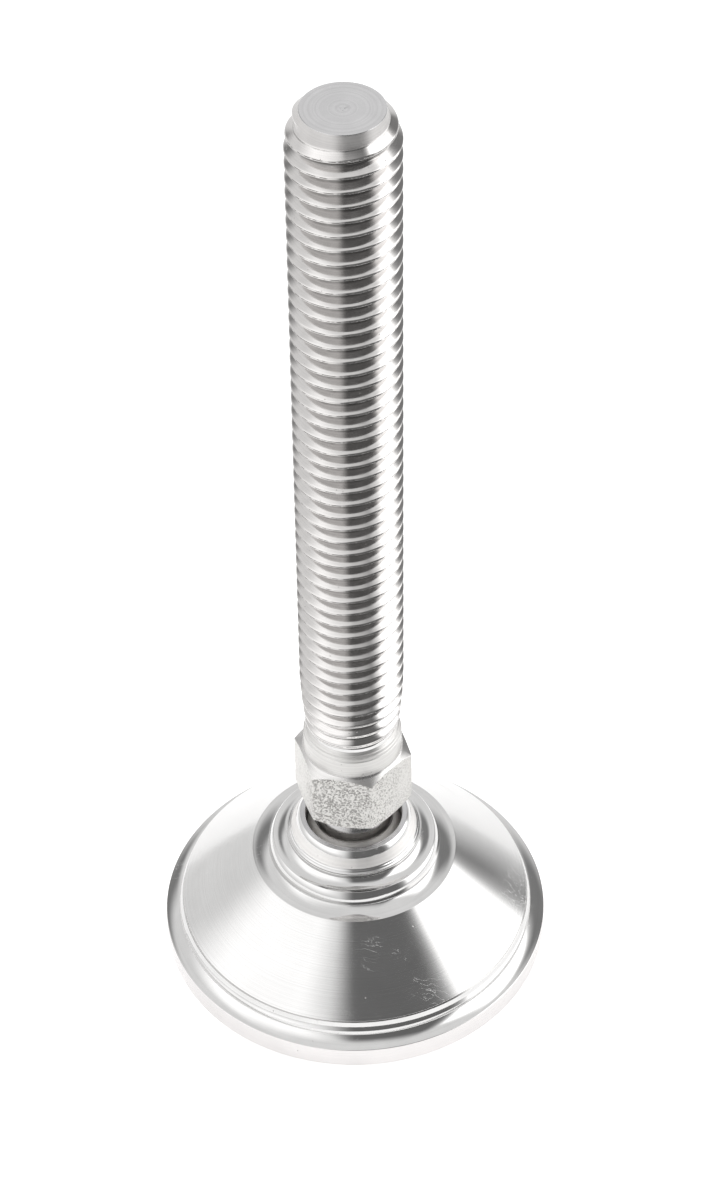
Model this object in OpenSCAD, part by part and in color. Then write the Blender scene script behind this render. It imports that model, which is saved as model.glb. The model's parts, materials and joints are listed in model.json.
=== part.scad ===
// Furniture levelling foot: a turned base with a ball socket, and a threaded spindle that swivels in it.
// Millimetres, +Z up. The origin is the centre of the base's underside, and the spindle stands upright.

/* [Base] */
// Diameter of the base over its rim
base_d = 38; // [30:0.5:60]
// Height of the straight edge of the rim
rim_h = 2.4; // [1.6:0.1:5]
// Width of the moulded step between the rim's edge and the cone
rim_step = 1.8; // [1:0.1:4]
// Height of the cone, from the rim's moulding up to the bead's trough
cone_h = 6.45; // [4:0.05:12]
// Width of the ring under the base that rests on the floor
land_w = 3.4; // [2:0.1:8]
// Depth of the turned recess under the base
recess_h = 1.5; // [0.5:0.1:2.5]

/* [Socket] */
// Largest lean of the spindle in any direction, in degrees
tilt_max = 10; // [4:1:12]
// Height of the collar's lip above the centre of the ball
lip_rise = 3.5; // [3:0.1:5]
// Gap left between the neck and the collar at the largest lean
lean_gap = 0.18; // [0.1:0.01:0.5]
// How far the collar reaches in over the ball to hold it
ball_hold = 0.25; // [0.2:0.01:0.6]
// Running clearance on each side of the ball seat
seat_gap = 0.05; // [0.03:0.01:0.1]
// Wall of the ball seat
seat_wall = 0.7; // [0.5:0.05:1.5]
// Width of the collar's flat top
lip_land = 0.5; // [0.3:0.05:1]
// Width of the collar's foot beyond the bore
collar_foot = 0.65; // [0.4:0.05:1.2]
// Depth that the collar is pressed into the bore
collar_grip = 1.1; // [0.8:0.05:1.3]
// Section of the preload ring
ring_section = 1.5; // [1:0.1:2]
// Mean radius of the preload ring
ring_r = 3.5; // [2.5:0.1:4]

/* [Spindle] */
// Length from the tip down to the top of the hexagon
stud_l = 75; // [40:1:150]
// Width of the hexagon across its flats
hex_af = 10; // [10:0.5:16]
// Height of the hexagon
hex_h = 7.2; // [5:0.1:12]
// Diameter of the neck between the hexagon and the ball
neck_d = 7.8; // [6:0.1:9.6]
// Distance from the bottom of the hexagon to the centre of the ball
neck_l = 6.15; // [5.5:0.05:10]
// Diameter of the plain collar above the hexagon
shoulder_d = 9.4; // [9:0.1:12]
// Length of the plain collar above the hexagon
shoulder_l = 2.05; // [1:0.05:4]

/* [Thread] */
// Outside diameter of the thread
thread_d = 9.85; // [9:0.05:12]
// Pitch of the thread
pitch = 1.5; // [1:0.25:2]
// Diameter of the flat face at the tip
tip_d = 7.26; // [6:0.02:8]
// Length of the tapered lead before the first full thread
lead_l = 2.8; // [1.5:0.1:4]
// Length over which the thread tapers down towards the undercut
fade_l = 6; // [3:0.5:10]
// Length of the undercut between the thread and the collar
undercut_l = 1; // [0.5:0.1:3]

/* [Hidden] */
$fn = 120;
slop = 1;                                   // how far a cutter runs past the face it opens

// The collar's throat clears the leaning neck, and the ball is just too big for it.
throat_r = neck_d / 2 / cos(tilt_max) + lip_rise * tan(tilt_max) + lean_gap;
ball_r = throat_r + ball_hold;
seat_r_in = ball_r + seat_gap;
seat_r_out = seat_r_in + seat_wall;
pocket_r = seat_r_out + seat_gap;
bore_r = pocket_r + seat_gap;               // wide enough to pass the seat and the ball
spare_lean = 3;                             // degrees past the largest lean
seat_rim_below = ball_r * sin(tilt_max + spare_lean);      // keeps the leaning rim under the ball's middle

// Rim and cone of the base, from the floor up
base_r = base_d / 2;
edge_chamfer = 0.25;
rim_hollow_h = 0.7;                         // hollow between the rim's edge and the ridge
rim_hollow_sag = 0.18;
ridge_h = 0.42;                             // small ridge round the foot of the cone
ridge_low_out = 0.42;                       // how far its lower and upper edges stand out from the cone
ridge_top_out = 0.34;
cone_foot_h = 1.12;                         // from the ridge to the cone's sharp lower edge
cone_low_r = base_r - rim_step;
ridge_low_z = rim_h + rim_hollow_h;
ridge_top_z = ridge_low_z + ridge_h;
cone_low_z = ridge_top_z + cone_foot_h;
cone_top_z = cone_low_z + cone_h;

// Boss, bead and trough round the socket
ball_rise = 1.41;                           // centre of the ball above the cone's upper edge
boss_rise = 1.4;                            // face that the collar sits on, above the centre of the ball
joint_step = 0.1;                           // how far that face stands out past the collar
boss_wall_h = 0.4;
bead_w = 1.77;                              // from the boss out to the bead's side
bead_drop = 0.9;                            // from the boss's face down to the bead's top
bead_edge = 0.3;
bead_sag = 0.16;
trough_step = 0.1;
trough_w = 1.58;
trough_h = 0.55;                            // from the cone's upper edge to the trough's inner edge
trough_wall_h = 0.05;
trough_sag = 0.22;
ball_z = cone_top_z + ball_rise;            // centre of the ball
boss_z = ball_z + boss_rise;
boss_r = bore_r + collar_foot + joint_step;
bead_r = boss_r + bead_w;
bead_top_z = boss_z - bead_drop;
trough_r = bead_r + trough_step;
cone_top_r = trough_r + trough_w;
recess_r = base_r - land_w;

// Collar, from its foot up
foot_h = 0.1;                               // straight edge on the base
foot_step_w = 0.3;
foot_step_h = 0.32;
line_w = 0.15;                              // fine step under the satin band
line_h = 0.08;
band_w = 0.4;                               // satin band, which leans inwards
lip_z = ball_z + lip_rise;
lip_slope_h = 0.62;                         // polished slope up to the flat top
lip_edge_w = 0.08;
lip_edge_h = 0.06;
foot_r = bore_r + collar_foot;
line_r = foot_r - foot_step_w;
band_r = line_r - line_w;
line_z = boss_z + foot_h + foot_step_h;
lip_r = throat_r + lip_land;

// Preload ring in its groove under the seat
ring_out = seat_r_out + seat_gap + ring_section / 2;       // ball centre to the ring's section centre
ring_z = ball_z - sqrt(ring_out * ring_out - ring_r * ring_r);
groove_gap = 0.05;
groove_w = ring_section + 2 * groove_gap;
groove_z = ring_z - ring_section / 2 - groove_gap;         // floor of the groove that holds the ring

// Spindle, from the ball up
hex_z = ball_z + neck_l;
hex_top_z = hex_z + hex_h;
tip_z = hex_top_z + stud_l;
hex_slope = tan(30);                        // chamfers at the top and bottom of the hexagon
hex_low_r = neck_d / 2 + 0.35;              // where the lower chamfer starts
hex_past_r = hex_af / sqrt(3) + 0.1;        // the chamfers' cones run on past the corners
shoulder_top_z = hex_top_z + shoulder_l;
thread_r = thread_d / 2;
thread_depth = 0.6134 * pitch;              // of an ISO metric outside thread
root_r = thread_r - thread_depth;
crest_w = pitch / 8;
root_w = pitch / 4;
flank_h = (pitch - crest_w - root_w) / 2;
tip_slope_h = 1.6;                          // smooth lead-in at the tip, under the thread's start
cone_above = thread_r - root_r;             // 45 degree shoulder between undercut and collar
thread_end_z = shoulder_top_z + cone_above + undercut_l;
thread_count = floor((tip_z - pitch - thread_end_z) / pitch);
faded_r = shoulder_d / 2 - 0.2;             // what the thread's tops come down to at the undercut

// Radius that the tops of the thread follow: rising at the tip's lead, falling towards the undercut.
function crest_r(z) = min(
    thread_r,
    tip_d / 2 + (thread_r - tip_d / 2) * (tip_z - z) / lead_l,
    faded_r + (thread_r - faded_r) * (z - thread_end_z) / fade_l);

// One turn of the thread's outline, from its lower root to its upper root.
function turn(z) = [
    [root_r, z],
    [max(root_r, crest_r(z + flank_h)), z + flank_h],
    [max(root_r, crest_r(z + flank_h + crest_w)), z + flank_h + crest_w],
    [root_r, z + pitch - root_w]];

// Points of a turned hollow between edges a and b of the section, its floor sunk by sag below their chord.
function hollow(a, b, sag, steps = 8) =
    let (chord = norm(b - a), r = (chord * chord / 4 + sag * sag) / (2 * sag), along = (b - a) / chord,
         up = [along[1], -along[0]], mid = (a + b) / 2 + up * (r - sag), half = asin(chord / 2 / r))
    [for (i = [0:steps]) let (t = half * (2 * i / steps - 1)) mid + r * (sin(t) * along - cos(t) * up)];

module base() color("gainsboro") difference() {
    rotate_extrude() polygon(concat(
        [[0, recess_h], [recess_r - recess_h, recess_h], [recess_r, 0],
         [base_r - edge_chamfer, 0], [base_r, edge_chamfer]],
        hollow([base_r, rim_h], [cone_low_r + ridge_low_out, ridge_low_z], rim_hollow_sag),
        [[cone_low_r + ridge_top_out, ridge_top_z], [cone_low_r, cone_low_z]],
        hollow([cone_top_r, cone_top_z], [trough_r, cone_top_z + trough_h], trough_sag),
        [[bead_r, cone_top_z + trough_h + trough_wall_h], [bead_r, bead_top_z - bead_edge]],
        hollow([bead_r - bead_edge, bead_top_z], [boss_r, boss_z - boss_wall_h], bead_sag),
        [[boss_r, boss_z], [0, boss_z]]));
    translate([0, 0, ball_z]) {
        sphere(r = pocket_r);
        cylinder(r = bore_r, h = boss_z - ball_z + slop);
    }
    rotate_extrude() translate([ring_r - groove_w / 2, groove_z])
        square([groove_w, ball_z - groove_z]);
}

module retaining_collar() color("silver") difference() {
    rotate_extrude() polygon([
        [throat_r, boss_z - collar_grip], [bore_r, boss_z - collar_grip], [bore_r, boss_z],
        [foot_r, boss_z], [foot_r, boss_z + foot_h], [line_r, line_z], [band_r, line_z + line_h],
        [band_r - band_w, lip_z - lip_edge_h - lip_slope_h],
        [lip_r, lip_z - lip_edge_h], [lip_r - lip_edge_w, lip_z], [throat_r, lip_z]]);
    translate([0, 0, ball_z]) sphere(r = seat_r_in);
}

module preload_ring() color("dimgray")
    rotate_extrude() translate([ring_r, ring_z]) circle(d = ring_section);

module ball_seat() color("white") translate([0, 0, ball_z]) difference() {
    sphere(r = seat_r_out);
    sphere(r = seat_r_in);
    translate([0, 0, -seat_rim_below]) cylinder(r = seat_r_out + slop, h = 2 * seat_r_out);
}

module threaded_stud() rotate_extrude() polygon(concat(
    [[0, hex_z + hex_h / 2], [shoulder_d / 2, hex_z + hex_h / 2],
     [shoulder_d / 2, shoulder_top_z], [root_r, shoulder_top_z + shoulder_d / 2 - root_r],
     [root_r, thread_end_z]],
    [for (i = [0:thread_count - 1]) each turn(thread_end_z + i * pitch)],
    [[root_r, tip_z - tip_slope_h], [tip_d / 2, tip_z], [0, tip_z]]));

// The hexagon, turned to a cone at its top and bottom.
module hexagon() intersection() {
    translate([0, 0, hex_z]) cylinder(r = hex_af / sqrt(3), h = hex_h, $fn = 6);
    rotate_extrude() polygon([
        [0, hex_z], [hex_low_r, hex_z],
        [hex_past_r, hex_z + (hex_past_r - hex_low_r) * hex_slope],
        [hex_past_r, hex_top_z - (hex_past_r - shoulder_d / 2) * hex_slope],
        [shoulder_d / 2, hex_top_z], [0, hex_top_z]]);
}

module spindle() color("lightgray") {
    threaded_stud();
    hexagon();
    translate([0, 0, ball_z]) {
        sphere(r = ball_r);
        cylinder(d = neck_d, h = neck_l + slop);
    }
}

base();
retaining_collar();
preload_ring();
ball_seat();
spindle();
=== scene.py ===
import json
import math

import bmesh
import bpy
from mathutils import Matrix, Vector


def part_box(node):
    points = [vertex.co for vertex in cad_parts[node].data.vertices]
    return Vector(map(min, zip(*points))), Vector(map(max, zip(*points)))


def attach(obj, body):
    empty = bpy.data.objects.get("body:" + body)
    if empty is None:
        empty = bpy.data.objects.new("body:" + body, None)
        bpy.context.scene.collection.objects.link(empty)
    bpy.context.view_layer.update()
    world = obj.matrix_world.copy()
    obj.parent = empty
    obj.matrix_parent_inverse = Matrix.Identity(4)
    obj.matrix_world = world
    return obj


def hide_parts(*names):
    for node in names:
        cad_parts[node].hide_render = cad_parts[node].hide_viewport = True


# Looks of a furniture levelling foot: a turned steel base with a ball socket, and a threaded spindle.
# Sizes are in millimetres unless a note says otherwise, and the meshes are made in metres.
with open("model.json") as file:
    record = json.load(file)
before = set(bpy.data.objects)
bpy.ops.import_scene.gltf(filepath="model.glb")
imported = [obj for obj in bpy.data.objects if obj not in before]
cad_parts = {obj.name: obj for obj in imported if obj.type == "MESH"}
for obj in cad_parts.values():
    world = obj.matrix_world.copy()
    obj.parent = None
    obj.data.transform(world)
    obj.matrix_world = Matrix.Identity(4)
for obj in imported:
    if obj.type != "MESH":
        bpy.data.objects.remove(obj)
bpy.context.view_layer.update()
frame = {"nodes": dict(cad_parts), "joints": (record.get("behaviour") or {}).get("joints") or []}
mm = 0.001
tau = 2 * math.pi
print("frame loaded:", ", ".join(sorted(frame["nodes"])))


# The studio: camera, a pale room with soft white screens and dark cards, and a white floor

camera = {
    "side": -77.8,        # degrees round from +X
    "height": 44.6,       # degrees above the horizon
    "roll": -0.69,
    "distance": 318,
    "aimRight": 1.21,     # the aim is this far to the right of the spindle's axis
    "aimUp": 45,
    "lens": 103.5,
    "sensor": 36,
}

studio = {
    "brightest": 2.3,        # what a shade of 1 means
    "seen": 1.3,             # brightness of the backdrop itself
    "room": 0.42,            # shade of the walls and the ceiling
    "paper": 0.58,           # shade of the white floor further out
    "paperEdge": (-32, -26), # degrees above the horizon
    "floorGlow": 0.5,
    "floorSize": 0.12,       # metres
    "floorShades": (0.88, 0.92),
    "floorDrop": 0.02,       # the floor lies this far under the base
}

# Soft screens and dark cards, each between two directions and two heights in degrees. Directions go round
# from the camera, and soft is how far an edge fades.
screens = {
    "whiteLeft": {"across": (-100, -25), "up": (5, 65), "soft": 15, "shade": 0.7},
    "whiteRight": {"across": (62, 116), "up": (-5, 60), "soft": 5, "shade": 1.0},
    "darkFront": {"across": (-10, 60), "up": (-25, 70), "soft": 10, "shade": 0.08},
    "cardBehindLeft": {"across": (-155, -135), "up": (10, 50), "soft": 8, "shade": 0.12},
    "cardBehindRight": {"across": (120, 150), "up": (0, 50), "soft": 8, "shade": 0.12},
}


def link(tree, value, socket):
    if isinstance(value, bpy.types.NodeSocket):
        tree.links.new(value, socket)
    else:
        socket.default_value = value


def addNode(tree, kind, inputs=None, **settings):
    node = tree.nodes.new(kind)
    for name, value in settings.items():
        setattr(node, name, value)
    for name, value in (inputs or {}).items():
        link(tree, value, node.inputs[name])
    return node


def calc(tree, operation, *values):
    node = addNode(tree, "ShaderNodeMath", operation=operation)
    for place, value in enumerate(values):
        link(tree, value, node.inputs[place])
    return node.outputs[0]


def ease(tree, value, low, high, start=0.0, end=1.0):
    # goes smoothly from start to end while the value goes from low to high
    inputs = {"Value": value, "From Min": low, "From Max": high, "To Min": start, "To Max": end}
    return addNode(tree, "ShaderNodeMapRange", inputs, interpolation_type="SMOOTHSTEP").outputs[0]


def mixColour(tree, share, first, second):
    node = addNode(tree, "ShaderNodeMix", data_type="RGBA")
    link(tree, share, node.inputs[0])
    for place, colour in ((6, first), (7, second)):
        link(tree, colour if isinstance(colour, bpy.types.NodeSocket) else (*colour, 1), node.inputs[place])
    return node.outputs[2]


def noise(tree, point, scale, detail, roughness=0.5):
    inputs = {"Vector": point, "Scale": scale, "Detail": detail, "Roughness": roughness}
    return addNode(tree, "ShaderNodeTexNoise", inputs).outputs["Fac"]


def bumpFrom(tree, height):
    # heights are in millimetres
    return addNode(tree, "ShaderNodeBump", {"Height": height, "Distance": mm, "Strength": 1.0}).outputs[0]


def newMaterial(name):
    material = bpy.data.materials.new(name)
    material.use_nodes = True
    material.node_tree.nodes.clear()
    return material, material.node_tree


def placeCamera():
    side, height, roll = (math.radians(camera[name]) for name in ("side", "height", "roll"))
    out = Vector((math.cos(side) * math.cos(height), math.sin(side) * math.cos(height), math.sin(height)))
    right = Vector((-math.sin(side), math.cos(side), 0))
    up = out.cross(right)
    aim = (right * camera["aimRight"] + Vector((0, 0, camera["aimUp"]))) * mm
    rolledRight = right * math.cos(roll) + up * math.sin(roll)
    rolledUp = up * math.cos(roll) - right * math.sin(roll)
    data = bpy.data.cameras.new("camera")
    data.lens = camera["lens"]
    data.sensor_width = camera["sensor"]
    data.clip_start = 0.01
    data.clip_end = 50
    item = bpy.data.objects.new("camera", data)
    bpy.context.scene.collection.objects.link(item)
    turn = Matrix((rolledRight, rolledUp, out)).transposed().to_4x4()
    item.matrix_world = Matrix.Translation(aim + out * camera["distance"] * mm) @ turn
    bpy.context.scene.camera = item


def buildStudio():
    scene = bpy.context.scene
    scene.view_settings.view_transform = "Standard"
    world = bpy.data.worlds.new("studio")
    scene.world = world
    world.use_nodes = True
    tree = world.node_tree
    tree.nodes.clear()
    way = addNode(tree, "ShaderNodeTexCoord").outputs["Generated"]
    turned = addNode(tree, "ShaderNodeVectorRotate", {"Vector": way, "Angle": -math.radians(camera["side"])},
                     rotation_type="Z_AXIS").outputs[0]
    parts = addNode(tree, "ShaderNodeSeparateXYZ", {"Vector": turned}).outputs
    around = calc(tree, "DEGREES", calc(tree, "ARCTAN2", parts["Y"], parts["X"]))
    above = calc(tree, "DEGREES", calc(tree, "ARCSINE", parts["Z"]))
    shade = ease(tree, above, *studio["paperEdge"], studio["paper"], studio["room"])
    for screen in screens.values():
        cover = 1.0
        for angle, (low, high) in ((around, screen["across"]), (above, screen["up"])):
            soft = screen["soft"]
            cover = calc(tree, "MULTIPLY", cover, ease(tree, angle, low - soft, low + soft))
            cover = calc(tree, "MULTIPLY", cover, ease(tree, angle, high - soft, high + soft, 1, 0))
        change = calc(tree, "SUBTRACT", screen["shade"], shade)
        shade = calc(tree, "MULTIPLY_ADD", cover, change, shade)
    colour = addNode(tree, "ShaderNodeCombineXYZ", {"X": shade, "Y": shade, "Z": shade}).outputs[0]
    mirrored = addNode(tree, "ShaderNodeBackground", {"Color": colour, "Strength": studio["brightest"]})
    seen = addNode(tree, "ShaderNodeBackground", {"Color": (1, 1, 1, 1), "Strength": studio["seen"]})
    straight = addNode(tree, "ShaderNodeLightPath").outputs["Is Camera Ray"]
    both = addNode(tree, "ShaderNodeMixShader", {0: straight, 1: mirrored.outputs[0], 2: seen.outputs[0]})
    out = addNode(tree, "ShaderNodeOutputWorld", {"Surface": both.outputs[0]})
    out.is_active_output = True

    # The floor lights up a little by itself, and is clear from below, so that the underside can be looked at.
    paint, tree = newMaterial("floorPaint")
    speckle = addNode(tree, "ShaderNodeTexNoise", {"Scale": 40.0, "Detail": 2.0}).outputs["Fac"]
    darker, lighter = studio["floorShades"]
    speckled = mixColour(tree, speckle, [darker] * 3, [lighter] * 3)
    matt = addNode(tree, "ShaderNodeBsdfDiffuse", {"Color": speckled}).outputs[0]
    glowing = {"Color": (1, 1, 1, 1), "Strength": studio["floorGlow"]}
    glow = addNode(tree, "ShaderNodeEmission", glowing).outputs[0]
    lit = addNode(tree, "ShaderNodeAddShader", {0: matt, 1: glow}).outputs[0]
    clear = addNode(tree, "ShaderNodeBsdfTransparent").outputs[0]
    below = addNode(tree, "ShaderNodeNewGeometry").outputs["Backfacing"]
    shader = addNode(tree, "ShaderNodeMixShader", {0: below, 1: lit, 2: clear}).outputs[0]
    addNode(tree, "ShaderNodeOutputMaterial", {"Surface": shader})
    half = studio["floorSize"] / 2
    sheet = bpy.data.meshes.new("floor")
    under = -studio["floorDrop"] * mm
    corners = [(x * half, y * half, under) for x, y in ((-1, -1), (1, -1), (1, 1), (-1, 1))]
    sheet.from_pydata(corners, [], [(0, 1, 2, 3)])
    sheet.materials.append(paint)
    floor = bpy.data.objects.new("floor", sheet)
    scene.collection.objects.link(floor)


placeCamera()
buildStudio()
print("studio ready")


# The thread, whose values its finish needs too
thread = {
    "pitch": 1.5,
    "crest": 4.925,
    "root": 4.005,
    "tipRadius": 3.63,
    "leadSlope": 0.234,       # how fast the plain lead under the tip widens
    "undercut": 4.2,
    "foot": 29.3,             # height of the thread's lower end
    "startAngle": 132.0,       # degrees
    "begins": 0.8,            # how far under the tip the ridge starts
    "wander": 0.01,           # how unevenly the crest was rolled
    "stepsPerTurn": 96,
    "tipEdge": 0.06,
    "pip": 0.16,              # little hollow left in the middle of the end face
    "pipDepths": (0.02, 0.09, 0.11),
    "faceRings": (0.97, 0.75, 0.5, 0.25),
    "footInset": 0.25,
    "leadLength": 2.2,        # faces this near the tip, and this near the lead, have its finish
    "leadMargin": 0.04,
    "runOut": 0.9,            # how steeply the root comes out of the undercut
    "fade": 0.08,             # share of a turn, on both sides of the ridge's start
    "slideZone": 10,          # how far up from the foot the ridge's sides keep their slope
    "swayRound": 3.0,         # how fast the unevenness changes round a turn, and from turn to turn
    "swayClimb": 2.1,
    "weld": 0.004,
}


# Finishes: one recipe for machined steel, with its own values for each surface

steelFinishes = {
    # lines run round the axis; across says which way they are crossed, by radius and by height
    "turnedCone": {"colour": (0.67, 0.665, 0.66), "rough": 0.13, "spread": 0.04, "grain": 0.8,
                   "across": (0.74, -0.67), "line": 0.13, "lineDepth": 0.0016, "tone": 0.07, "cloud": 9,
                   "speck": 1.6, "speckSize": 0.09, "scratch": 0.5},
    "polished": {"colour": (0.68, 0.675, 0.67), "rough": 0.07, "spread": 0.03, "grain": 0.3,
                 "across": (0.7, 0.7), "line": 0.12, "lineDepth": 0.0003, "tone": 0.04, "cloud": 5,
                 "speck": 1.4, "speckSize": 0.08, "scratch": 0.4},
    "rimSide": {"colour": (0.74, 0.72, 0.715), "rough": 0.22, "spread": 0.06, "grain": 0.5,
                "across": (0.1, 1), "line": 0.14, "lineDepth": 0.0008, "tone": 0.06, "cloud": 6,
                "speck": 1.6, "speckSize": 0.09, "scratch": 0.3},
    "underside": {"colour": (0.62, 0.615, 0.61), "rough": 0.3, "spread": 0.1, "grain": 0.6,
                  "across": (1, 0.2), "line": 0.25, "lineDepth": 0.004, "tone": 0.15, "cloud": 4,
                  "speck": 1.2, "speckSize": 0.12, "scratch": 0.8},
    "satin": {"colour": (0.71, 0.7, 0.685), "rough": 0.4, "spread": 0.08, "grain": 0.2,
              "across": (0.5, 0.8), "line": 0.09, "lineDepth": 0.003, "tone": 0.15, "cloud": 2,
              "speck": 0.7, "speckSize": 0.08, "scratch": 0.1},
    "band": {"colour": (0.84, 0.825, 0.81), "rough": 0.54, "spread": 0.06, "grain": 0.0,
             "across": (0.4, -0.9), "line": 0.09, "lineDepth": 0.003, "tone": 0.12, "cloud": 2,
             "speck": 0.6, "speckSize": 0.07, "scratch": 0.1},
    "chamfer": {"colour": (0.64, 0.63, 0.62), "rough": 0.26, "spread": 0.05, "grain": 0.5,
                "across": (0.5, -0.9), "line": 0.1, "lineDepth": 0.002, "tone": 0.1, "cloud": 3,
                "speck": 1, "speckSize": 0.06, "scratch": 0.1},
    "lead": {"colour": (0.66, 0.645, 0.635), "rough": 0.34, "spread": 0.06, "grain": 0.2,
             "across": (0.5, 0.9), "line": 0.1, "lineDepth": 0.003, "tone": 0.12, "cloud": 2,
             "speck": 0.8, "speckSize": 0.06, "scratch": 0.1},
    "facedEnd": {"colour": (0.64, 0.635, 0.64), "rough": 0.2, "spread": 0.04, "grain": 0.85,
                 "across": (1, 0.1), "line": 0.25, "lineDepth": 0.002, "tone": 0.09, "cloud": 2.2,
                 "speck": 1.2, "speckSize": 0.07, "scratch": 0.3},
    # in rolled, rootShade gives where the painted shade towards the thread's root starts and ends
    "rolled": {"colour": (0.66, 0.645, 0.635), "rough": 0.11, "spread": 0.06, "grain": 0.0,
               "across": (0.8, 0.9), "line": 0.11, "lineDepth": 0.0008, "tone": 0.1, "cloud": 1.6,
               "speck": 0.7, "speckSize": 0.06, "scratch": 0.0, "seam": 0.02, "rootShade": (0.34, 0.43)},
    # a lighter copy of the steel: painted light that brightens the ball and the collar's throat, which sit in
    # shade
    "turnedBallPaintedLight": {"colour": (0.8, 0.785, 0.77), "rough": 0.44, "spread": 0.06, "grain": 0.2,
                   "across": (0.7, -0.7), "line": 0.13, "lineDepth": 0.002, "tone": 0.08, "cloud": 2,
                   "speck": 1, "speckSize": 0.06, "scratch": 0.1},
}


cloudRange = (0.3, 0.7)
steelMarks = {
    "soilAndRootShade": (0.1, 0.095, 0.09),         # darker in the tool lines, and painted shade in the thread's root
    "pit": (0.22, 0.2, 0.19),
    "seam": (0.07, 0.065, 0.06),
    "dull": 0.93,
    "pitted": 0.6,                      # cells above this share have a pit
    "pitDepth": 0.012,
    "pitRough": 0.2,
    "seamDepth": 0.02,
    "seamRadius": (4.25, 4.4),          # the seam fades in between these
    "scratchTurn": (0.4, 0.9, 0.7),
    "scratchStretch": (0.22, 1.3, 1.3),
    "scratchWidth": 0.004,
}


def axisCoordinates(tree):
    # where a point is on the object, in millimetres: the whole vector, its distance from the axis, its height
    place = addNode(tree, "ShaderNodeTexCoord").outputs["Object"]
    point = addNode(tree, "ShaderNodeVectorMath", {0: place, "Scale": 1 / mm}, operation="SCALE").outputs[0]
    parts = addNode(tree, "ShaderNodeSeparateXYZ", {"Vector": point}).outputs
    flat = addNode(tree, "ShaderNodeCombineXYZ", {"X": parts["X"], "Y": parts["Y"]}).outputs[0]
    radius = addNode(tree, "ShaderNodeVectorMath", {0: flat}, operation="LENGTH").outputs["Value"]
    return point, radius, parts["Z"]


def threadShare(tree, point, height):
    # how far across one turn of the thread a point is: 0 and 1 at the root, 0.5 at the crest
    parts = addNode(tree, "ShaderNodeSeparateXYZ", {"Vector": point}).outputs
    turn = calc(tree, "DIVIDE", calc(tree, "ARCTAN2", parts["Y"], parts["X"]), tau)
    start = 0.5 - thread["foot"] / thread["pitch"] + thread["startAngle"] / 360
    phase = calc(tree, "MULTIPLY_ADD", height, 1 / thread["pitch"], start)
    return calc(tree, "FRACT", calc(tree, "SUBTRACT", phase, turn))


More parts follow.
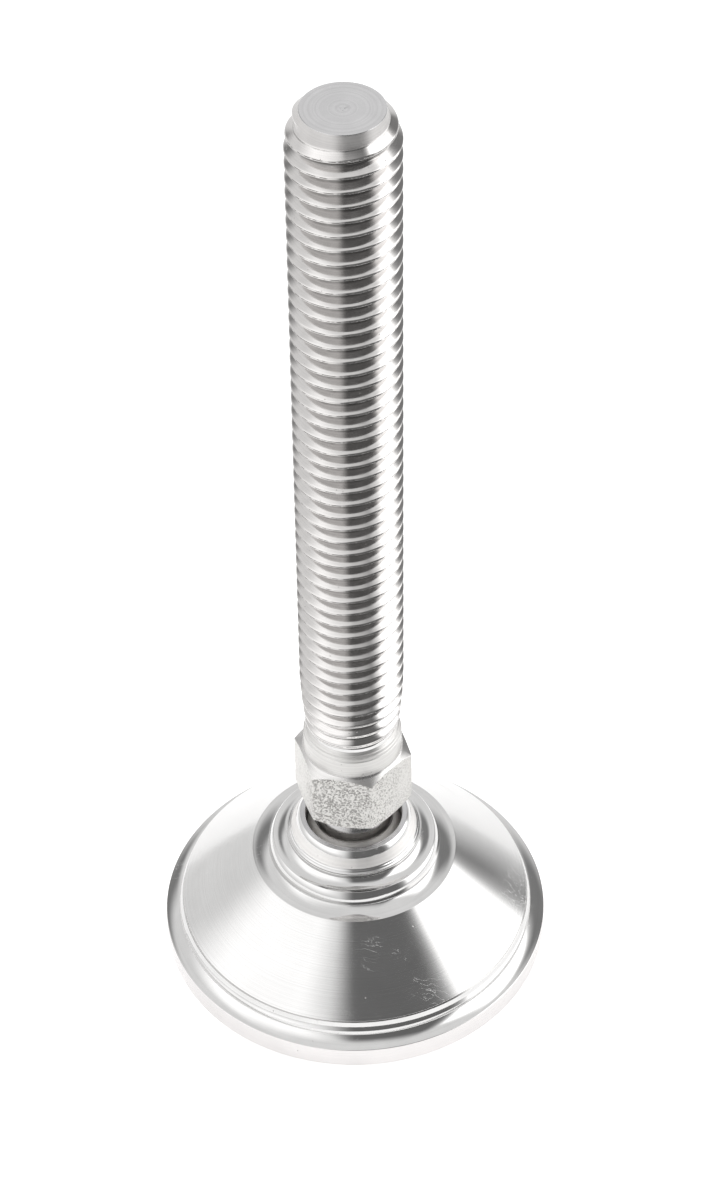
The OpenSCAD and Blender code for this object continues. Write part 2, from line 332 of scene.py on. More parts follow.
def steelMaterial(name, look):
    material, tree = newMaterial(name)
    point, radius, height = axisCoordinates(tree)

    # fine lines left by the tool
    along = calc(tree, "ADD", calc(tree, "MULTIPLY", radius, look["across"][0]),
                 calc(tree, "MULTIPLY", height, look["across"][1]))
    share = threadShare(tree, point, height) if "seam" in look else None
    if share:
        along = calc(tree, "MULTIPLY", share, thread["pitch"])
    inputs = {"W": along, "Scale": 1 / look["line"], "Detail": 2.5, "Roughness": 0.6}
    lines = addNode(tree, "ShaderNodeTexNoise", inputs, noise_dimensions="1D").outputs["Fac"]
    clouds = noise(tree, point, 1 / look["cloud"], 4.0, 0.6)
    depth = calc(tree, "MULTIPLY", lines, ease(tree, clouds, *cloudRange, 0.45, 1.0))

    # small pits, few and scattered
    cells = addNode(tree, "ShaderNodeTexVoronoi", {"Vector": point, "Scale": 1 / look["speck"]})
    drawn = addNode(tree, "ShaderNodeSeparateColor", {"Color": cells.outputs["Color"]}).outputs[0]
    chosen = calc(tree, "GREATER_THAN", drawn, steelMarks["pitted"])
    size = look["speckSize"] / look["speck"]
    pits = calc(tree, "MULTIPLY", ease(tree, cells.outputs["Distance"], size * 0.4, size, 1, 0), chosen)

    # hairline scratches: thin crests of a stretched noise, here and there
    inputs = {"Vector": point, "Rotation": steelMarks["scratchTurn"], "Scale": steelMarks["scratchStretch"]}
    veins = noise(tree, addNode(tree, "ShaderNodeMapping", inputs).outputs[0], 1.0, 3.0)
    fromCrest = calc(tree, "ABSOLUTE", calc(tree, "SUBTRACT", veins, 0.5))
    thin = ease(tree, fromCrest, 0.0, steelMarks["scratchWidth"], 1, 0)
    scratches = calc(tree, "MULTIPLY", thin, ease(tree, clouds, 0.56, 0.66, 0, look["scratch"]))

    flaws = calc(tree, "MAXIMUM", pits, calc(tree, "MULTIPLY", scratches, 0.6))
    dull = [part * steelMarks["dull"] for part in look["colour"]]
    bright = mixColour(tree, ease(tree, clouds, *cloudRange), dull, look["colour"])
    toned = mixColour(tree, ease(tree, lines, 0.35, 0.7, 0, look["tone"]), bright, steelMarks["soilAndRootShade"])
    markedColour = mixColour(tree, calc(tree, "MULTIPLY", pits, 0.6), toned, steelMarks["pit"])
    smoothest = look["rough"] - look["spread"] / 2
    roughest = look["rough"] + look["spread"]
    rough = ease(tree, clouds, 0.25, 0.75, smoothest, roughest)
    rough = calc(tree, "ADD", rough, calc(tree, "MULTIPLY", flaws, steelMarks["pitRough"]))
    raised = calc(tree, "SUBTRACT", calc(tree, "MULTIPLY", depth, look["lineDepth"]),
                  calc(tree, "MULTIPLY", flaws, steelMarks["pitDepth"]))
    if share:
        # the roller leaves a broken seam along the crest
        broken = noise(tree, point, 1.7, 3.0)
        side = calc(tree, "ABSOLUTE", calc(tree, "SUBTRACT", share, 0.5))
        seam = calc(tree, "MULTIPLY", ease(tree, side, look["seam"] * 0.4, look["seam"], 1, 0),
                    ease(tree, broken, 0.42, 0.55))
        seam = calc(tree, "MULTIPLY", seam, ease(tree, radius, *steelMarks["seamRadius"]))
        markedColour = mixColour(tree, calc(tree, "MULTIPLY", seam, 0.85), markedColour, steelMarks["seam"])
        raised = calc(tree, "SUBTRACT", raised, calc(tree, "MULTIPLY", seam, steelMarks["seamDepth"]))
        # painted shade: the flanks darken towards the thread's root, where the groove lies in shade
        ragged = calc(tree, "ADD", side, ease(tree, clouds, *cloudRange, -0.02, 0.02))
        markedColour = mixColour(tree, ease(tree, ragged, *look["rootShade"], 0, 0.8), markedColour, steelMarks["soilAndRootShade"])
    bump = bumpFrom(tree, raised)
    inputs = {"Base Color": markedColour, "Roughness": rough, "Normal": bump, "Metallic": 1.0}
    shader = addNode(tree, "ShaderNodeBsdfPrincipled", inputs)
    if look["grain"]:
        # reflections spread across the tool lines
        shader.inputs["Anisotropic"].default_value = look["grain"]
        shader.inputs["Anisotropic Rotation"].default_value = 0.25
        sideways = addNode(tree, "ShaderNodeTangent", direction_type="RADIAL", axis="Z").outputs[0]
        tree.links.new(sideways, shader.inputs["Tangent"])
    addNode(tree, "ShaderNodeOutputMaterial", {"Surface": shader.outputs[0]})
    return material


rawFlats = {
    "colour": (0.70, 0.69, 0.67),
    "dark": (0.27, 0.26, 0.25),
    "rough": 0.45,
    "pitSize": 0.17,
    "pitDepth": 0.04,
    "grainDepth": 0.008,
    "pitsAndShadeSide": -80,         # degrees round the axis, where the pits are deepest; this also darkens those flats as painted shade
}


def rawFlatMaterial():
    # the hexagon's flats are left as the bar came: dull, with small dark pits
    material, tree = newMaterial("rawFlats")
    point = axisCoordinates(tree)[0]
    parts = addNode(tree, "ShaderNodeSeparateXYZ", {"Vector": point}).outputs
    turn = calc(tree, "ARCTAN2", parts["Y"], parts["X"])
    # painted shade: the pits grow heavier towards that side, so those flats read darker than their
    # neighbours; partly real pitting
    facing = calc(tree, "COSINE", calc(tree, "SUBTRACT", turn, math.radians(rawFlats["pitsAndShadeSide"])))
    pitsAndShadeStrength = ease(tree, facing, 0.3, 0.97, 0.35, 1)
    fine = noise(tree, point, 1 / rawFlats["pitSize"], 3.0, 0.65)
    broad = noise(tree, point, 0.6, 2.0)
    grain = noise(tree, point, 14.0, 2.0)
    edge = ease(tree, broad, 0.3, 0.7, 0.5, 0.56)
    pits = calc(tree, "MULTIPLY", pitsAndShadeStrength, ease(tree, calc(tree, "SUBTRACT", fine, edge), -0.02, 0.025))
    colour = mixColour(tree, calc(tree, "MULTIPLY", pits, 0.75), rawFlats["colour"], rawFlats["dark"])
    height = calc(tree, "ADD", calc(tree, "MULTIPLY", pits, -rawFlats["pitDepth"]),
                  calc(tree, "MULTIPLY", grain, rawFlats["grainDepth"]))
    rough = calc(tree, "ADD", calc(tree, "MULTIPLY", pits, 0.15), rawFlats["rough"])
    inputs = {"Base Color": colour, "Roughness": rough, "Normal": bumpFrom(tree, height), "Metallic": 1.0}
    shader = addNode(tree, "ShaderNodeBsdfPrincipled", inputs)
    addNode(tree, "ShaderNodeOutputMaterial", {"Surface": shader.outputs[0]})
    return material


mouldedFinishes = {
    "acetal": {"colour": (0.86, 0.855, 0.83), "shade": (0.78, 0.775, 0.75), "rough": 0.38, "mark": 0.35,
               "depth": 0.002},
    "rubber": {"colour": (0.018, 0.018, 0.019), "shade": (0.035, 0.034, 0.033), "rough": 0.62, "mark": 0.2,
               "depth": 0.004},
}


def mouldedMaterial(name, look):
    material, tree = newMaterial(name)
    point = axisCoordinates(tree)[0]
    fine = noise(tree, point, 1 / look["mark"], 4.0)
    broad = noise(tree, point, 0.5, 2.0)
    colour = mixColour(tree, ease(tree, broad, 0.35, 0.65), look["colour"], look["shade"])
    rough = ease(tree, fine, 0.3, 0.7, look["rough"] - 0.06, look["rough"] + 0.08)
    raised = calc(tree, "MULTIPLY", fine, look["depth"])
    inputs = {"Base Color": colour, "Roughness": rough, "Normal": bumpFrom(tree, raised)}
    shader = addNode(tree, "ShaderNodeBsdfPrincipled", inputs)
    addNode(tree, "ShaderNodeOutputMaterial", {"Surface": shader.outputs[0]})
    return material


materials = {name: steelMaterial(name, look) for name, look in steelFinishes.items()}
materials["rawFlats"] = rawFlatMaterial()
for name, look in mouldedFinishes.items():
    materials[name] = mouldedMaterial(name, look)
print("materials:", len(materials))


# Turned shapes: an outline of (radius, height, edge radius, finish) corners goes round the axis

def sagPoints(start, end, sag, finish, steps=10):
    # inner points of an arc from start to end: hollow when sag is above 0, and domed when it's below
    a, b = Vector(start), Vector(end)
    chord = (b - a).length
    radius = (chord * chord / 4 + sag * sag) / (2 * abs(sag))
    along = (b - a) / chord
    left = Vector((-along.y, along.x)) * (1 if sag > 0 else -1)
    centre = (a + b) / 2 - left * (radius - abs(sag))
    half = math.asin(min(1, chord / 2 / radius))
    points = []
    for step in range(1, steps):
        angle = half * (2 * step / steps - 1)
        spot = centre + radius * (math.sin(angle) * along + math.cos(angle) * left)
        points.append((spot.x, spot.y, 0, finish))
    return points


def ballPoints(centre, radius, fromAngle, toAngle, finish, steps):
    # points on a ball's outline, with angles in degrees above its middle; both ends are left out
    points = []
    for step in range(1, steps):
        angle = math.radians(fromAngle + (toAngle - fromAngle) * step / steps)
        points.append((radius * math.cos(angle), centre + radius * math.sin(angle), 0, finish))
    return points


def roundEdges(corners, closed=False, steps=4):
    points = []
    count = len(corners)
    for place, (radius, height, edge, finish) in enumerate(corners):
        here = Vector((radius, height))
        if edge == 0 or (not closed and place in (0, count - 1)):
            points.append((radius, height, finish))
            continue
        back = Vector(corners[place - 1][:2]) - here
        ahead = Vector(corners[(place + 1) % count][:2]) - here
        half = back.angle(ahead) / 2
        reach = min(edge / math.tan(half), 0.45 * back.length, 0.45 * ahead.length)
        edge = reach * math.tan(half)
        back.normalize()
        ahead.normalize()
        centre = here + (back + ahead).normalized() * edge / math.sin(half)
        first = here + back * reach - centre
        last = here + ahead * reach - centre
        for step in range(steps + 1):
            spot = centre + first.slerp(last, step / steps) * edge
            points.append((spot.x, spot.y, finish if step > steps / 2 else corners[place - 1][3]))
    return points


def spreadPoints(points, closed=False, guard=0.03, longest=0.7):
    # long straight stretches get a point close to each end, so that round edges don't shade them
    made = []
    pairs = list(zip(points, points[1:] + points[:1]))
    if not closed:
        pairs = pairs[:-1]
    for (r0, z0, finish), (r1, z1, _) in pairs:
        made.append((r0, z0, finish))
        length = math.hypot(r1 - r0, z1 - z0)
        if length > 6 * guard:
            inner = max(1, math.ceil((length - 2 * guard) / longest))
            for step in range(inner + 1):
                share = (guard + (length - 2 * guard) * step / inner) / length
                made.append((r0 + (r1 - r0) * share, z0 + (z1 - z0) * share, finish))
    if not closed:
        made.append(points[-1])
    return made


def skin(name, angles, outlineAt, closed=False):
    # a solid from outlines that all have as many points, one at each angle; they run anticlockwise
    outlines = [outlineAt(angle) for angle in angles]
    finishes = list(dict.fromkeys(point[2] for point in outlines[0]))
    vertices = []
    rings = []
    for place in range(len(outlines[0])):
        first = len(vertices)
        if outlines[0][place][0] < 1e-6:
            vertices.append((0, 0, outlines[0][place][1] * mm))
            rings.append([first] * len(angles))
            continue
        for angle, outline in zip(angles, outlines):
            radius, height = outline[place][:2]
            vertices.append((radius * math.cos(angle) * mm, radius * math.sin(angle) * mm, height * mm))
        rings.append(list(range(first, len(vertices))))
    faces = []
    slots = []
    pairs = list(zip(rings, rings[1:] + rings[:1]))
    if not closed:
        pairs = pairs[:-1]
    for place, (low, high) in enumerate(pairs):
        slot = finishes.index(outlines[0][place][2])
        for k in range(len(angles)):
            on = (k + 1) % len(angles)
            faces.append(list(dict.fromkeys((low[k], low[on], high[on], high[k]))))
            slots.append(slot)
    mesh = bpy.data.meshes.new(name)
    mesh.from_pydata(vertices, [], faces)
    for finish in finishes:
        mesh.materials.append(materials[finish])
    mesh.polygons.foreach_set("material_index", slots)
    return mesh


def evenAngles(count):
    return [tau * k / count for k in range(count)]


def turnedMesh(name, corners, count, closed=False):
    outline = spreadPoints(roundEdges(corners, closed), closed)
    return skin(name, evenAngles(count), lambda angle: outline, closed)


sharpAngle = 40               # degrees; folds sharper than this stay crisp


def finishPiece(name, mesh, body, node):
    mesh.polygons.foreach_set("use_smooth", [True] * len(mesh.polygons))
    mesh.set_sharp_from_angle(angle=math.radians(sharpAngle))
    mesh.update()
    piece = bpy.data.objects.new(name, mesh)
    bpy.context.scene.collection.objects.link(piece)
    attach(piece, body)
    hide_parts(node)
    faces = sum(len(polygon.vertices) - 2 for polygon in mesh.polygons)
    print(name, "has", faces, "triangles")


# Where things are, from the frame
ballHeight = frame["joints"][0]["pos_m"][2] / mm
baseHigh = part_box("base")[1] / mm
collarLow, collarHigh = (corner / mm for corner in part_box("retaining_collar"))
ringLow, ringHigh = (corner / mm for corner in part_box("preload_ring"))
seatLow, seatHigh = (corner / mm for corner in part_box("ball_seat"))
spindleLow, spindleHigh = (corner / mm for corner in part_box("spindle"))
ballRadius = ballHeight - spindleLow.z


# Base

base = {
    "recess": 1.5,            # depth under the base
    "land": 3.4,              # ring that stands on the floor
    "rimHeight": 2.4,
    "rimStep": 1.8,           # from the rim's edge to the cone's foot
    "rimStepTop": (0.42, 0.7),    # how far out from the cone's foot, and how far above the rim's edge
    "ridge": (0.34, 1.12),
    "coneFoot": 4.64,         # heights of the cone's two edges
    "coneTop": 11.09,
    "coneTopRadius": 10.057,
    "troughRadius": 8.477,
    "beadRadius": 8.377,
    "beadInnerRadius": 7.97,
    "beadTop": 13.0,
    "troughRise": 0.55,       # above the cone's top edge
    "beadDrop": 0.77,         # the bead's outer edge, under its top
    "rimHollow": 0.09,
    "ridgeHollow": 0.13,
    "troughHollow": 0.08,
    "beadDome": 0.05,
    "bossHollow": 0.16,
    "floorEdge": 0.14,        # chamfer at the floor
    "bossMargin": 0.1,        # the boss is this much wider than the collar's foot
    "bossWall": 0.4,
    "socketGap": 0.05,
    "grooveWidth": 1.6,
    "steps": 224,
}


def buildBase():
    rim = baseHigh.x
    top = baseHigh.z
    foot = rim - base["rimStep"]
    boss = collarHigh.x + base["bossMargin"]
    pocket = ballHeight - seatLow.z + base["socketGap"]
    bore = pocket + base["socketGap"]
    inner = (ringLow.x + ringHigh.x) / 2
    ringMiddle = ringHigh.x - (ringHigh.z - ringLow.z) / 2
    outGroove = ringMiddle + base["grooveWidth"] / 2
    inGroove = ringMiddle - base["grooveWidth"] / 2
    grooveFloor = ringLow.z - base["socketGap"]
    outAngle = -math.degrees(math.acos(outGroove / pocket))
    inAngle = -math.degrees(math.acos(inGroove / pocket))
    rimEdge = (rim, base["rimHeight"])
    rimStep = (foot + base["rimStepTop"][0], base["rimHeight"] + base["rimStepTop"][1])
    ridge = (foot + base["ridge"][0], base["rimHeight"] + base["ridge"][1])
    coneFoot = (foot, base["coneFoot"])
    coneTop = (base["coneTopRadius"], base["coneTop"])
    trough = (base["troughRadius"], base["coneTop"] + base["troughRise"])
    bead = (base["beadRadius"], base["beadTop"] - base["beadDrop"])
    beadInner = (base["beadInnerRadius"], base["beadTop"])
    wall = (boss, top - base["bossWall"])
    corners = [
        (inner, base["recess"], 0, "underside"),
        (rim - base["land"] - base["recess"], base["recess"], 0.3, "underside"),
        (rim - base["land"], 0, 0.15, "underside"),
        (rim - base["floorEdge"], 0, 0.06, "rimSide"),
        (rim, base["floorEdge"], 0.08, "rimSide"),
        (*rimEdge, 0.07, "polished"),
        *sagPoints(rimEdge, rimStep, base["rimHollow"], "polished"),
        (*rimStep, 0.02, "polished"),
        (*ridge, 0.07, "polished"),
        *sagPoints(ridge, coneFoot, base["ridgeHollow"], "polished"),
        (*coneFoot, 0.04, "turnedCone"),
        (*coneTop, 0.035, "polished"),
        *sagPoints(coneTop, trough, base["troughHollow"], "polished"),
        (*trough, 0.02, "polished"),
        (*bead, 0.07, "polished"),
        *sagPoints(bead, beadInner, -base["beadDome"], "polished", 6),
        (*beadInner, 0.07, "polished"),
        *sagPoints(beadInner, wall, base["bossHollow"], "polished"),
        (*wall, 0.03, "polished"),
        (boss, top, 0.04, "polished"),
        (bore, top, 0.06, "underside"),
        (bore, ballHeight, 0, "underside"),
        (pocket, ballHeight, 0, "underside"),
        *ballPoints(ballHeight, pocket, 0, outAngle, "underside", 14),
        (outGroove, ballHeight + pocket * math.sin(math.radians(outAngle)), 0.05, "underside"),
        (outGroove, grooveFloor, 0.1, "underside"),
        (inGroove, grooveFloor, 0.1, "underside"),
        (inGroove, ballHeight + pocket * math.sin(math.radians(inAngle)), 0.05, "underside"),
        *ballPoints(ballHeight, pocket, inAngle, -90, "underside", 8),
        (0, ballHeight - pocket, 0, "underside"),
    ]
    mesh = turnedMesh("footBase", corners, base["steps"])
    finishPiece("footBase", mesh, "base", "base")


buildBase()


# Collar, pressed into the base over the ball

collar = {
    "throat": 4.757,
    "seatGap": 0.05,
    "lip": 0.5,               # width of the flat top
    "band": (15.3, 14.42),    # heights of the satin band's edges
    "bandRadius": (5.64, 6.06),
    # fine steps from the boss up to the band: how far in from the foot, height above the boss, edge radius
    "ledges": ((0, 0.02, 0.03), (0.02, 0.1, 0.03), (0.16, 0.17, 0.02), (0.2, 0.27, 0.03), (0.32, 0.34, 0.02)),
    "bandStart": (0.36, 0.44),
    "lipDrop": 0.08,
    "lipDome": 0.05,
    "steps": 192,
}


def buildCollar():
    throat = collar["throat"]
    hold = ballRadius + collar["seatGap"]
    foot = collarHigh.x
    top = collarHigh.z
    bossTop = baseHigh.z
    bore = ballHeight - seatLow.z + 2 * collar["seatGap"]
    startAngle = math.degrees(math.acos(throat / hold))
    endAngle = math.degrees(math.asin((collarLow.z - ballHeight) / hold))
    bandHigh = (collar["bandRadius"][0], collar["band"][0])
    bandLow = (collar["bandRadius"][1], collar["band"][1])
    lip = (throat + collar["lip"], top - collar["lipDrop"])
    corners = [
        (hold * math.cos(math.radians(endAngle)), collarLow.z, 0.04, "turnedBallPaintedLight"),
        (bore, collarLow.z, 0.15, "turnedBallPaintedLight"),
        (bore, bossTop, 0, "turnedBallPaintedLight"),
        *[(foot - inward, bossTop + rise, edge, "polished") for inward, rise, edge in collar["ledges"]],
        (foot - collar["bandStart"][0], bossTop + collar["bandStart"][1], 0.03, "band"),
        (*bandLow, 0.03, "band"),
        (*bandHigh, 0.05, "polished"),
        *sagPoints(bandHigh, lip, -collar["lipDome"], "polished", 6),
        (*lip, 0.04, "facedEnd"),
        (throat, top, 0.07, "turnedBallPaintedLight"),
        (throat, ballHeight + hold * math.sin(math.radians(startAngle)), 0, "turnedBallPaintedLight"),
        *ballPoints(ballHeight, hold, startAngle, endAngle, "turnedBallPaintedLight", 6),
    ]
    mesh = turnedMesh("retainingCollar", corners, collar["steps"], closed=True)
    finishPiece("retainingCollar", mesh, "base", "retaining_collar")


buildCollar()


# Ball seat and preload ring, hidden in the socket

seat = {
    "wall": 0.7,
    "ballSteps": 28,
    "steps": 144,
}

ring = {
    "flash": 0.03,            # height of the fine ridges outside, inside, above and below
    "quarterSteps": 8,
    "steps": 144,
}


def buildSeat():
    outer = ballHeight - seatLow.z
    inner = outer - seat["wall"]
    outerRim = math.degrees(math.asin((seatHigh.z - ballHeight) / outer))
    innerRim = math.degrees(math.asin((seatHigh.z - ballHeight) / inner))
    corners = [
        (0, ballHeight - outer, 0, "acetal"),
        *ballPoints(ballHeight, outer, -90, outerRim, "acetal", seat["ballSteps"]),
        (outer * math.cos(math.radians(outerRim)), seatHigh.z, 0.08, "acetal"),
        (inner * math.cos(math.radians(innerRim)), seatHigh.z, 0.08, "acetal"),
        *ballPoints(ballHeight, inner, innerRim, -90, "acetal", seat["ballSteps"]),
        (0, ballHeight - inner, 0, "acetal"),
    ]
    mesh = turnedMesh("ballSeat", corners, seat["steps"])
    finishPiece("ballSeat", mesh, "seat", "ball_seat")


def buildRing():
    section = (ringHigh.z - ringLow.z) / 2
    middle = (ringHigh.x - section, (ringHigh.z + ringLow.z) / 2)
    corners = []
    steps = 4 * ring["quarterSteps"]
    for step in range(steps):
        angle = tau * step / steps
        size = section if step % ring["quarterSteps"] == 0 else section - ring["flash"]
        corners.append((middle[0] + size * math.cos(angle), middle[1] + size * math.sin(angle), 0, "rubber"))
    mesh = turnedMesh("preloadRing", corners, ring["steps"], closed=True)
    finishPiece("preloadRing", mesh, "ring", "preload_ring")


buildSeat()
buildRing()


# Spindle: a rolled thread made by nodes, and a shank with its hexagon, neck and ball

# Half of one turn's outline, root first: shares of the pitch and of the thread's depth, and how far a point
# slides to the root where the ridge is low, so that its sides keep their slope
halfTurn = [(0, 0, 0), (0.06, 0.012, 0), (0.105, 0.075, 0), (0.15, 0.188, 0), (0.385, 0.852, 0.225),
            (0.412, 0.925, 0.2), (0.435, 0.983, 0.15), (0.462, 1.0, 0.08), (0.5, 0.965, 0)]

# Straight limits on the crest's and the root's radius: from which end, radius there, rise for each millimetre
crestLimits = [("tip", 4.12, 0.2875), ("foot", 4.2, 0.9), ("foot", 4.49, 0.085), ("foot", 4.66, 0.0417)]
rootLimits = [("tip", thread["tipRadius"], thread["leadSlope"])]


def wrapped(tree, radius, angle, height):
    # a place at this radius and angle round the axis
    x = calc(tree, "MULTIPLY", radius, calc(tree, "COSINE", angle))
    y = calc(tree, "MULTIPLY", radius, calc(tree, "SINE", angle))
    return addNode(tree, "ShaderNodeCombineXYZ", {"X": x, "Y": y, "Z": height}).outputs[0]


def threadTree():
    tree = bpy.data.node_groups.new("rolledThread", "GeometryNodeTree")
    sockets = {}
    numbers = ("Pitch", "Crest Radius", "Root Radius", "Undercut Radius", "Foot Height", "Tip Height",
               "Turns", "Start Angle", "Last Turn", "Wander")
    for label in numbers:
        sockets[label] = tree.interface.new_socket(label, in_out="INPUT", socket_type="NodeSocketFloat")
    for label in ("Steps Per Turn", "Seed"):
        sockets[label] = tree.interface.new_socket(label, in_out="INPUT", socket_type="NodeSocketInt")
    sockets["Finish"] = tree.interface.new_socket("Finish", in_out="INPUT", socket_type="NodeSocketMaterial")
    tree.interface.new_socket("Geometry", in_out="OUTPUT", socket_type="NodeSocketGeometry")
    given = addNode(tree, "NodeGroupInput").outputs
    rows = 2 * (len(halfTurn) - 1) + 1

    # a flat sheet, one turn's outline wide and all turns long
    length = calc(tree, "ADD", calc(tree, "MULTIPLY", given["Turns"], given["Steps Per Turn"]), 1)
    inputs = {"Size X": 1.0, "Size Y": 1.0, "Vertices X": rows, "Vertices Y": length}
    sheet = addNode(tree, "GeometryNodeMeshGrid", inputs).outputs["Mesh"]
    position = addNode(tree, "GeometryNodeInputPosition").outputs[0]
    spot = addNode(tree, "ShaderNodeSeparateXYZ", {0: position}).outputs
    across = calc(tree, "ADD", spot["X"], 0.5)
    turns = calc(tree, "MULTIPLY", calc(tree, "ADD", spot["Y"], 0.5), given["Turns"])

    # the outline, from two curves over the sheet's width
    def outlineCurve(which):
        node = addNode(tree, "ShaderNodeFloatCurve", {"Value": across})
        points = node.mapping.curves[0].points
        places = [k / (rows - 1) for k in range(rows)]
        mirrored = [(1 - share, height, slide) for share, height, slide in reversed(halfTurn[:-1])]
        values = [point[which] for point in halfTurn + mirrored]
        points[0].location = (0, values[0])
        points[1].location = (1, values[-1])
        for place, value in list(zip(places, values))[1:-1]:
            points.new(place, value)
        for point in points:
            point.handle_type = "VECTOR"
        node.mapping.update()
        return node.outputs[0]

    share = outlineCurve(0)
    rise = outlineCurve(1)
    slide = calc(tree, "MULTIPLY", outlineCurve(2), calc(tree, "SIGN", calc(tree, "SUBTRACT", across, 0.5)))

    # wound up: the sheet starts a turn under the foot and ends a turn over the tip, and is held between them
    def heightAt(share):
        climb = calc(tree, "SUBTRACT", calc(tree, "ADD", turns, share), 1.5)
        raw = calc(tree, "MULTIPLY_ADD", given["Pitch"], climb, given["Foot Height"])
        return calc(tree, "MAXIMUM", calc(tree, "MINIMUM", raw, given["Tip Height"]), given["Foot Height"])

    height = heightAt(share)
    fromTip = calc(tree, "SUBTRACT", given["Tip Height"], height)
    fromFoot = calc(tree, "SUBTRACT", height, given["Foot Height"])

    def limited(radius, limits):
        for end, start, slope in limits:
            ramp = calc(tree, "MULTIPLY_ADD", fromTip if end == "tip" else fromFoot, slope, start * mm)
            radius = calc(tree, "MINIMUM", radius, ramp)
        return radius

    crest = limited(given["Crest Radius"], crestLimits)
    root = limited(given["Root Radius"], rootLimits)
    runOut = calc(tree, "MULTIPLY", fromFoot, thread["runOut"])
    runOut = calc(tree, "SUBTRACT", given["Undercut Radius"], runOut)
    root = calc(tree, "MAXIMUM", root, runOut)
    crest = calc(tree, "MAXIMUM", crest, root)

    # the ridge fades in over a sixth of a turn
    past = calc(tree, "SUBTRACT", turns, given["Last Turn"])
    fade = ease(tree, past, -thread["fade"], thread["fade"], 1, 0)
    crest = calc(tree, "MULTIPLY_ADD", calc(tree, "SUBTRACT", crest, root), fade, root)
    angle = calc(tree, "ADD", calc(tree, "MULTIPLY", turns, tau), given["Start Angle"])

    # the rolled crest isn't quite even
    where = wrapped(tree, thread["swayRound"], angle, calc(tree, "MULTIPLY", turns, thread["swayClimb"]))
    inputs = {"Vector": where, "W": given["Seed"], "Scale": 1.6, "Detail": 3.0}
    uneven = addNode(tree, "ShaderNodeTexNoise", inputs, noise_dimensions="4D").outputs["Fac"]
    full = calc(tree, "DIVIDE", calc(tree, "SUBTRACT", crest, root),
                calc(tree, "SUBTRACT", given["Crest Radius"], given["Root Radius"]))
    sway = calc(tree, "MULTIPLY", calc(tree, "SUBTRACT", uneven, 1.0), given["Wander"])
    sway = calc(tree, "MULTIPLY", sway, full)
    nearFoot = calc(tree, "LESS_THAN", fromFoot, thread["slideZone"] * mm)
    low = calc(tree, "MULTIPLY", calc(tree, "SUBTRACT", 1.0, full), nearFoot)
    height = heightAt(calc(tree, "MULTIPLY_ADD", slide, low, share))
    depth = calc(tree, "ADD", calc(tree, "SUBTRACT", crest, root), sway)
    radius = calc(tree, "ADD", root, calc(tree, "MULTIPLY", depth, rise))
    inputs = {"Geometry": sheet, "Position": wrapped(tree, radius, angle, height)}
    placed = addNode(tree, "GeometryNodeSetPosition", inputs).outputs[0]
    inputs = {"Geometry": placed, "Distance": thread["weld"] * mm}
    merged = addNode(tree, "GeometryNodeMergeByDistance", inputs).outputs[0]
    real = addNode(tree, "GeometryNodeRealizeInstances", {"Geometry": merged}).outputs[0]
    inputs = {"Geometry": real, "Material": given["Finish"]}
    painted = addNode(tree, "GeometryNodeSetMaterial", inputs).outputs[0]
    addNode(tree, "NodeGroupOutput", {"Geometry": painted})
    return tree, sockets


def rolledThread():
    tree, sockets = threadTree()
    tip = spindleHigh.z - thread["tipEdge"]
    turns = math.ceil((tip - thread["foot"]) / thread["pitch"]) + 3
    values = {
        "Pitch": thread["pitch"] * mm,
        "Crest Radius": thread["crest"] * mm,
        "Root Radius": thread["root"] * mm,
        "Undercut Radius": thread["undercut"] * mm,
        "Foot Height": thread["foot"] * mm,
        "Tip Height": tip * mm,
        "Turns": float(turns),
        "Start Angle": math.radians(thread["startAngle"]),
        "Last Turn": (spindleHigh.z - thread["begins"] - thread["foot"]) / thread["pitch"] + 1,
        "Wander": thread["wander"] * mm,
        "Steps Per Turn": thread["stepsPerTurn"],
        "Seed": 7,
        "Finish": materials["rolled"],
    }
    holder = bpy.data.objects.new("threadMaker", bpy.data.meshes.new("threadMaker"))
    bpy.context.scene.collection.objects.link(holder)
    modifier = holder.modifiers.new("thread", "NODES")
    modifier.node_group = tree
    for label, value in values.items():
        modifier[sockets[label].identifier] = value
    evaluated = holder.evaluated_get(bpy.context.evaluated_depsgraph_get())
    mesh = bpy.data.meshes.new_from_object(evaluated)
    bpy.data.objects.remove(holder)
    return mesh


def closeEnds(shape, tipRings, footRings):
    # rings of (radius, height, finish) go on from the open circle at each end to a point in the middle
    halfway = (thread["foot"] + spindleHigh.z) / 2 * mm
    for rings, atTip in ((tipRings, True), (footRings, False)):
        rim = [edge for edge in shape.edges if edge.is_boundary and (edge.verts[0].co.z > halfway) == atTip]
        around = {vert for edge in rim for vert in edge.verts}
        circle = sorted(around, key=lambda vert: math.atan2(vert.co.y, vert.co.x))
        for radius, height, finish in rings:
            if radius == 0:
                middle = shape.verts.new((0, 0, height * mm))
                inner = [middle] * len(circle)
            else:
                inner = []
                for vert in circle:
                    angle = math.atan2(vert.co.y, vert.co.x)
                    spot = (radius * math.cos(angle) * mm, radius * math.sin(angle) * mm, height * mm)
                    inner.append(shape.verts.new(spot))
            for k in range(len(circle)):
                on = (k + 1) % len(circle)
                corners = list(dict.fromkeys((circle[k], circle[on], inner[on], inner[k])))
                if not atTip:
                    corners.reverse()
                face = shape.faces.new(corners)
                face.material_index = finish
            circle = inner


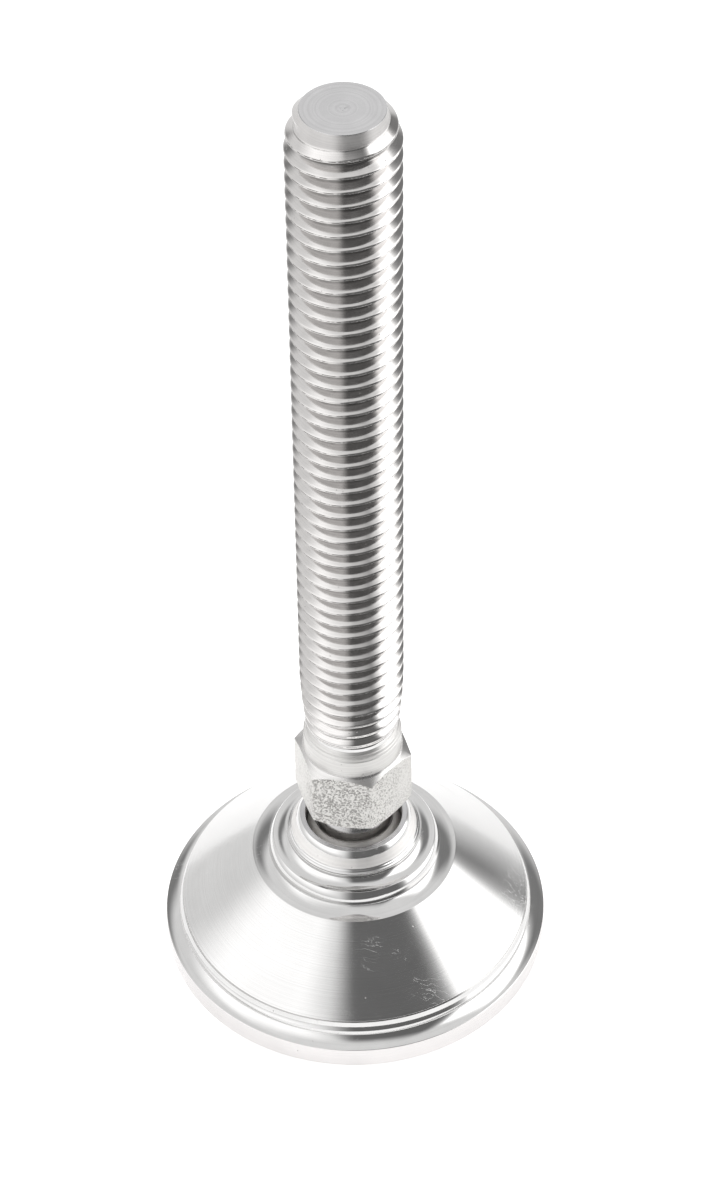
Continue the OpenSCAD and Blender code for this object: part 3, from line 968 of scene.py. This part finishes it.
shank = {
    "neck": 3.9,
    "neckLength": 6.15,       # from the ball's centre to the hexagon
    "hexHeight": 7.2,
    "hexEdge": 0.12,          # how round the corners are
    "chamfer": 30,            # degrees
    "chamferStart": 0.35,     # the lower chamfer starts this far out from the neck
    "shoulder": 4.7,
    "shoulderLength": 2.05,
    # fine steps from the shoulder to the undercut: how far in, how far up, edge radius
    "ledges": ((0, 0, 0.03), (0.06, 0.04, 0.02), (0.1, 0.32, 0.03), (0.17, 0.36, 0.02), (0.24, 0.62, 0.03),
               (0.34, 0.68, 0.02)),
    "ledgesHeight": 0.98,
    "neckRelief": (0.03, 0.25),   # how far in, and how far above the ball
    "neckFlare": (0.06, 0.6),     # how far out, and how far under the hexagon it begins
    "ballSteps": 40,
    "stepsPerFlat": 30,
}


def hexRadius(angle, across, edge):
    # distance from the axis to a hexagon with round corners; the corners are at 0, 60, 120 degrees and so on
    fromFlat = abs((math.degrees(angle) % 60) - 30)
    flatEnd = math.degrees(math.atan((across - edge) * math.tan(math.radians(30)) / across))
    if fromFlat <= flatEnd:
        return across / math.cos(math.radians(fromFlat))
    fromCorner = math.radians(30 - fromFlat)
    middle = (across - edge) / math.cos(math.radians(30))
    return middle * math.cos(fromCorner) + math.sqrt(edge ** 2 - (middle * math.sin(fromCorner)) ** 2)


def shankAngles():
    # closer together near the hexagon's corners
    angles = []
    for flat in range(6):
        for step in range(shank["stepsPerFlat"]):
            share = (1 - math.cos(math.pi * step / shank["stepsPerFlat"])) / 2
            angles.append(math.radians(60 * (flat + share)))
    return angles


def shankOutline(angle):
    neck = shank["neck"]
    hexLow = ballHeight + shank["neckLength"]
    hexTop = hexLow + shank["hexHeight"]
    top = hexTop + shank["shoulderLength"]
    slope = math.tan(math.radians(shank["chamfer"]))
    side = hexRadius(angle, spindleHigh.y, shank["hexEdge"])
    start = neck + shank["chamferStart"]
    shoulder = shank["shoulder"]
    neckAngle = math.degrees(math.acos(neck / ballRadius))
    neckLow = ballHeight + ballRadius * math.sin(math.radians(neckAngle))
    corners = [
        (0, spindleLow.z, 0, "turnedBallPaintedLight"),
        *ballPoints(ballHeight, ballRadius, -90, neckAngle, "turnedBallPaintedLight", shank["ballSteps"]),
        (neck, neckLow, 0, "polished"),
        (neck - shank["neckRelief"][0], neckLow + shank["neckRelief"][1], 0.1, "polished"),
        (neck, hexLow - shank["neckFlare"][1], 0.4, "polished"),
        (neck + shank["neckFlare"][0], hexLow, 0.04, "turnedCone"),
        (start, hexLow, 0.05, "turnedCone"),
        (side, hexLow + (side - start) * slope, 0.07, "rawFlats"),
        (side, hexTop - (side - shoulder) * slope, 0.07, "chamfer"),
        (shoulder, hexTop, 0.4, "satin"),
        *[(shoulder - inward, top + rise, edge, "satin") for inward, rise, edge in shank["ledges"]],
        (thread["undercut"], top + shank["ledgesHeight"], 0.05, "polished"),
        (thread["undercut"], thread["foot"] - 0.05, 0, "turnedCone"),
        (thread["undercut"] - 0.3, thread["foot"] + 0.2, 0, "turnedCone"),
        (0, thread["foot"] + 0.2, 0, "turnedCone"),
    ]
    return spreadShank(roundEdges(corners))


def spreadShank(points, guard=0.03):
    # as many points at every angle: a guard point by each end of the long stretches, and two between them
    made = []
    for (r0, z0, finish), (r1, z1, _) in zip(points, points[1:]):
        made.append((r0, z0, finish))
        if finish in ("rawFlats", "satin") and abs(z1 - z0) > 1:
            length = math.hypot(r1 - r0, z1 - z0)
            for share in (guard / length, 0.33, 0.67, 1 - guard / length):
                made.append((r0 + (r1 - r0) * share, z0 + (z1 - z0) * share, finish))
    made.append(points[-1])
    return made


def buildSpindle():
    threadMesh = rolledThread()
    shankMesh = skin("shank", shankAngles(), shankOutline)
    finishes = [material.name for material in shankMesh.materials]
    for name in ("rolled", "lead", "facedEnd"):
        if name not in finishes:
            finishes.append(name)
    shape = bmesh.new()
    shape.from_mesh(threadMesh)
    tip = spindleHigh.z
    radius = thread["tipRadius"]
    for face in shape.faces:
        middle = face.calc_center_median() / mm
        below = tip - middle.z
        lead = radius + thread["leadSlope"] * below + thread["leadMargin"]
        plain = below < thread["leadLength"] and middle.xy.length < lead
        face.material_index = finishes.index("lead" if plain else "rolled")
    edge = thread["tipEdge"]
    faced = finishes.index("facedEnd")
    tipRings = [(radius - 0.3 * edge, tip - 0.3 * edge, faced), (radius - edge, tip, faced)]
    tipRings += [(radius * share, tip, faced) for share in thread["faceRings"]]
    for size, depth in zip((2, 1, 0), thread["pipDepths"]):
        tipRings.append((thread["pip"] * size, tip - depth, faced))
    footRadius = thread["undercut"] - thread["footInset"]
    footRings = [(footRadius, thread["foot"], faced), (0, thread["foot"], faced)]
    closeEnds(shape, tipRings, footRings)
    bmesh.ops.recalc_face_normals(shape, faces=shape.faces)
    shape.from_mesh(shankMesh)
    mesh = bpy.data.meshes.new("threadedSpindle")
    shape.to_mesh(mesh)
    shape.free()
    for name in finishes:
        mesh.materials.append(materials[name])
    finishPiece("threadedSpindle", mesh, "spindle", "spindle")


buildSpindle()
